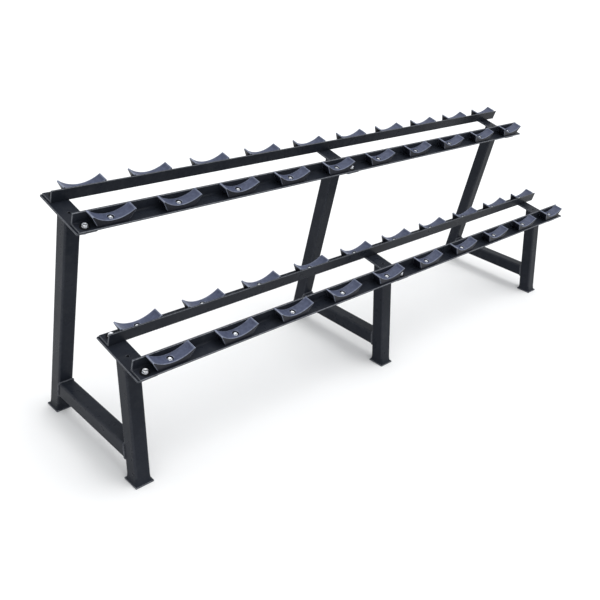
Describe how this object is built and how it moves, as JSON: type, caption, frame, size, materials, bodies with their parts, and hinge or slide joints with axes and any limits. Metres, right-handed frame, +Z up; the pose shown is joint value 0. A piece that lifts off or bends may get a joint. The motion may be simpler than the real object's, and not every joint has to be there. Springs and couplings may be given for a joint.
{
  "type": "dumbbell rack",
  "caption": "Two-tier steel rack of paired angle rails on A-shaped tube frames, with rows of moulded saddles that cradle round dumbbell heads.",
  "frame": {"origin": "on the floor, under the middle of the rack", "axes": "+X along the rails to the right of a person facing the rack, +Y towards the back, +Z up"},
  "size_m": [2.3146, 0.5292, 0.7772],
  "materials": {
    "painted_steel": "satin black powder coat",
    "saddle_polymer": "moulded slate-grey polymer",
    "zinc_steel": "bright zinc plate"
  },
  "bodies": {
    "root": {"lower_front_saddle_01": "saddle_polymer", "lower_front_saddle_02": "saddle_polymer", "lower_front_saddle_03": "saddle_polymer", "lower_front_saddle_04": "saddle_polymer", "lower_front_saddle_05": "saddle_polymer", "lower_front_saddle_06": "saddle_polymer", "lower_front_saddle_07": "saddle_polymer", "lower_front_saddle_08": "saddle_polymer", "lower_front_saddle_09": "saddle_polymer", "lower_front_saddle_10": "saddle_polymer", "lower_rear_saddle_01": "saddle_polymer", "lower_rear_saddle_02": "saddle_polymer", "lower_rear_saddle_03": "saddle_polymer", "lower_rear_saddle_04": "saddle_polymer", "lower_rear_saddle_05": "saddle_polymer", "lower_rear_saddle_06": "saddle_polymer", "lower_rear_saddle_07": "saddle_polymer", "lower_rear_saddle_08": "saddle_polymer", "lower_rear_saddle_09": "saddle_polymer", "lower_rear_saddle_10": "saddle_polymer", "upper_front_saddle_01": "saddle_polymer", "upper_front_saddle_02": "saddle_polymer", "upper_front_saddle_03": "saddle_polymer", "upper_front_saddle_04": "saddle_polymer", "upper_front_saddle_05": "saddle_polymer", "upper_front_saddle_06": "saddle_polymer", "upper_front_saddle_07": "saddle_polymer", "upper_front_saddle_08": "saddle_polymer", "upper_front_saddle_09": "saddle_polymer", "upper_front_saddle_10": "saddle_polymer", "upper_rear_saddle_01": "saddle_polymer", "upper_rear_saddle_02": "saddle_polymer", "upper_rear_saddle_03": "saddle_polymer", "upper_rear_saddle_04": "saddle_polymer", "upper_rear_saddle_05": "saddle_polymer", "upper_rear_saddle_06": "saddle_polymer", "upper_rear_saddle_07": "saddle_polymer", "upper_rear_saddle_08": "saddle_polymer", "upper_rear_saddle_09": "saddle_polymer", "upper_rear_saddle_10": "saddle_polymer", "lower_front_rail": "painted_steel", "lower_rear_rail": "painted_steel", "upper_front_rail": "painted_steel", "upper_rear_rail": "painted_steel", "left_front_leg": "painted_steel", "left_rear_upright": "painted_steel", "left_base_bar": "painted_steel", "left_lower_cross_plate": "painted_steel", "left_upper_cross_plate": "painted_steel", "middle_front_leg": "painted_steel", "middle_rear_upright": "painted_steel", "middle_base_bar": "painted_steel", "middle_lower_cross_plate": "painted_steel", "middle_upper_cross_plate": "painted_steel", "right_front_leg": "painted_steel", "right_rear_upright": "painted_steel", "right_base_bar": "painted_steel", "right_lower_cross_plate": "painted_steel", "right_upper_cross_plate": "painted_steel"}
  },
  "joints": []
}
